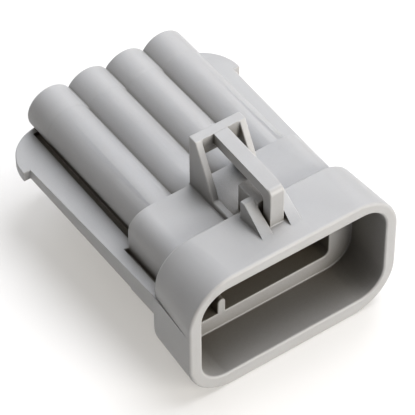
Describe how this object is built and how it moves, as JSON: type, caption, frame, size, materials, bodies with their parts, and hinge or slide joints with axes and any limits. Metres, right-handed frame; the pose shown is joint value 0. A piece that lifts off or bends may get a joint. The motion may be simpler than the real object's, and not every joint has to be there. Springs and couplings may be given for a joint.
{
  "type": "sealed wire-to-wire connector housing",
  "caption": "Moulded shroud half of a sealed connector: a wide round-cornered mating shroud, rows of round seal tubes behind it, a latch guard on top and hooked side rails.",
  "frame": {"origin": "centre of the mating cavity's mouth, in the plane of the shroud's rim", "axes": "+Y from the mating face to the wire end, +Z to the latch side, X across the width"},
  "size_m": [0.035, 0.043, 0.0268],
  "materials": {
    "housing": "satin as-moulded"
  },
  "bodies": {
    "root": {"housing": "housing"}
  },
  "joints": []
}
